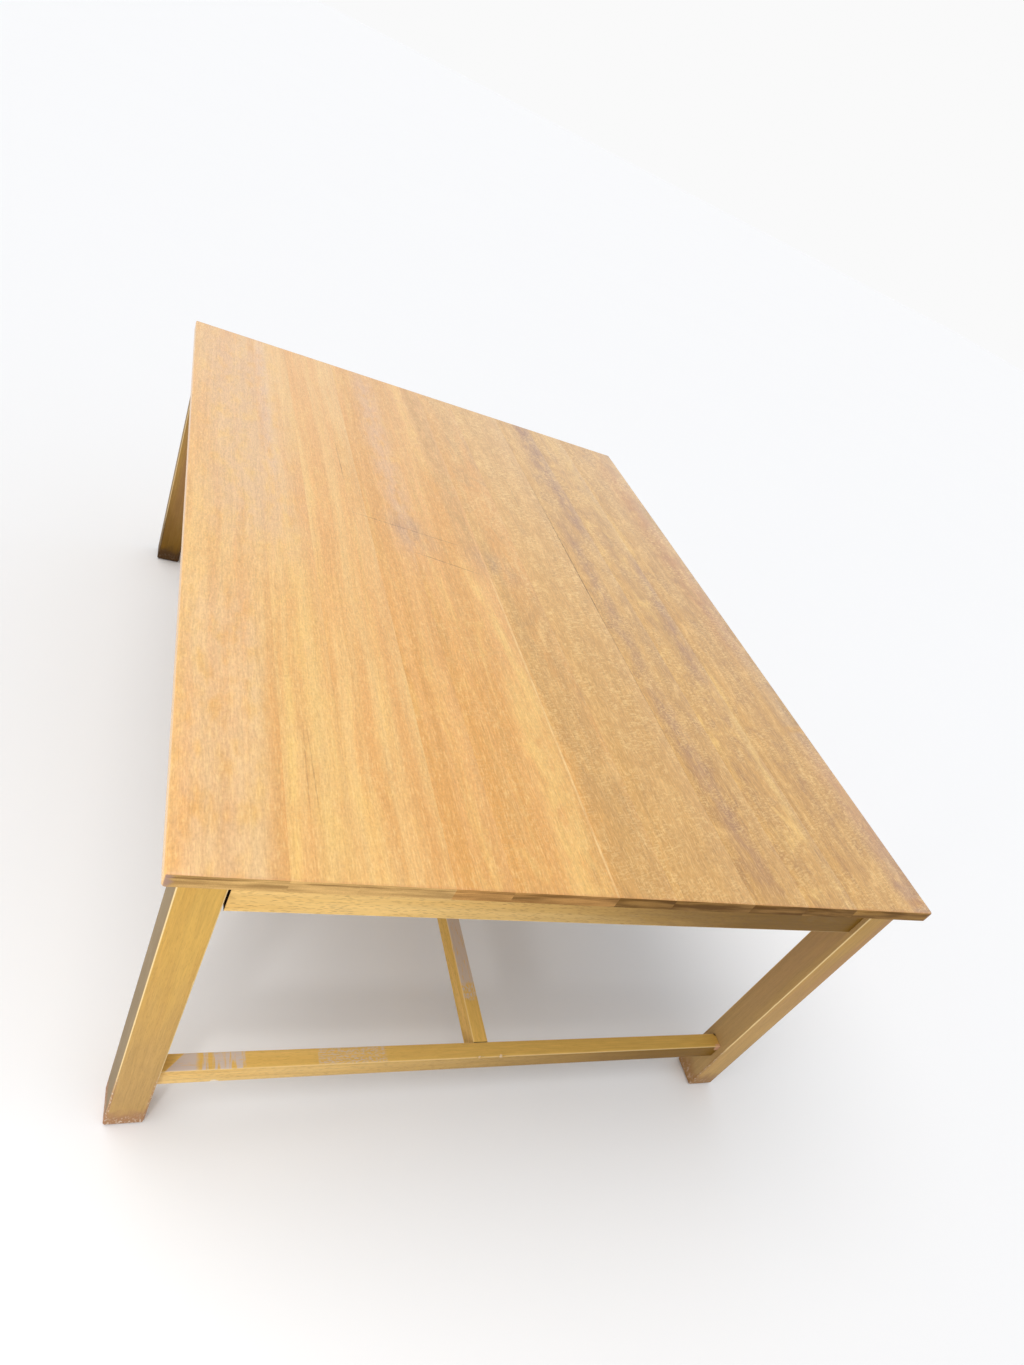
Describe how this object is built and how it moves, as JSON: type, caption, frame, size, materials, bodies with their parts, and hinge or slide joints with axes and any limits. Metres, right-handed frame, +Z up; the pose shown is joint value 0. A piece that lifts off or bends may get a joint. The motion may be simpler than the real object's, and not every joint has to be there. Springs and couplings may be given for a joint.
{
  "type": "dining table",
  "caption": "Wide rectangular dining table with a flush plank top on square legs, plain aprons and a low H-shaped stretcher, in lacquered wood.",
  "frame": {"origin": "on the floor under the centre of the top", "axes": "+X along the table's length, +Y across it, +Z up"},
  "size_m": [1.9, 1.4006, 0.75],
  "materials": {
    "top_wood": "satin lacquer, worn",
    "frame_wood": "gloss lacquer, worn",
    "inner_wood": "bare sawn wood",
    "steel": "zinc plated"
  },
  "bodies": {
    "root": {"top_board_01": "top_wood", "top_board_02": "top_wood", "top_board_03": "top_wood", "top_board_04": "top_wood", "top_board_05": "top_wood", "top_board_06": "top_wood", "top_board_07": "top_wood", "top_board_08": "top_wood", "top_board_09": "top_wood", "top_board_10": "top_wood", "leg_front_left": "frame_wood", "leg_front_right": "frame_wood", "leg_back_right": "frame_wood", "leg_back_left": "frame_wood", "end_apron_left": "frame_wood", "end_apron_right": "frame_wood", "side_apron_front": "frame_wood", "side_apron_back": "frame_wood", "end_stretcher_left": "frame_wood", "end_stretcher_right": "frame_wood", "long_stretcher": "frame_wood", "board_tongues": "inner_wood", "cross_bearer": "inner_wood", "table_buttons": "inner_wood", "corner_block_front_left": "inner_wood", "corner_block_front_right": "inner_wood", "corner_block_back_right": "inner_wood", "corner_block_back_left": "inner_wood", "corner_block_screws": "steel", "hanger_bolts": "steel", "bolt_washers": "steel", "bolt_nuts": "steel", "top_screws": "steel"}
  },
  "joints": []
}
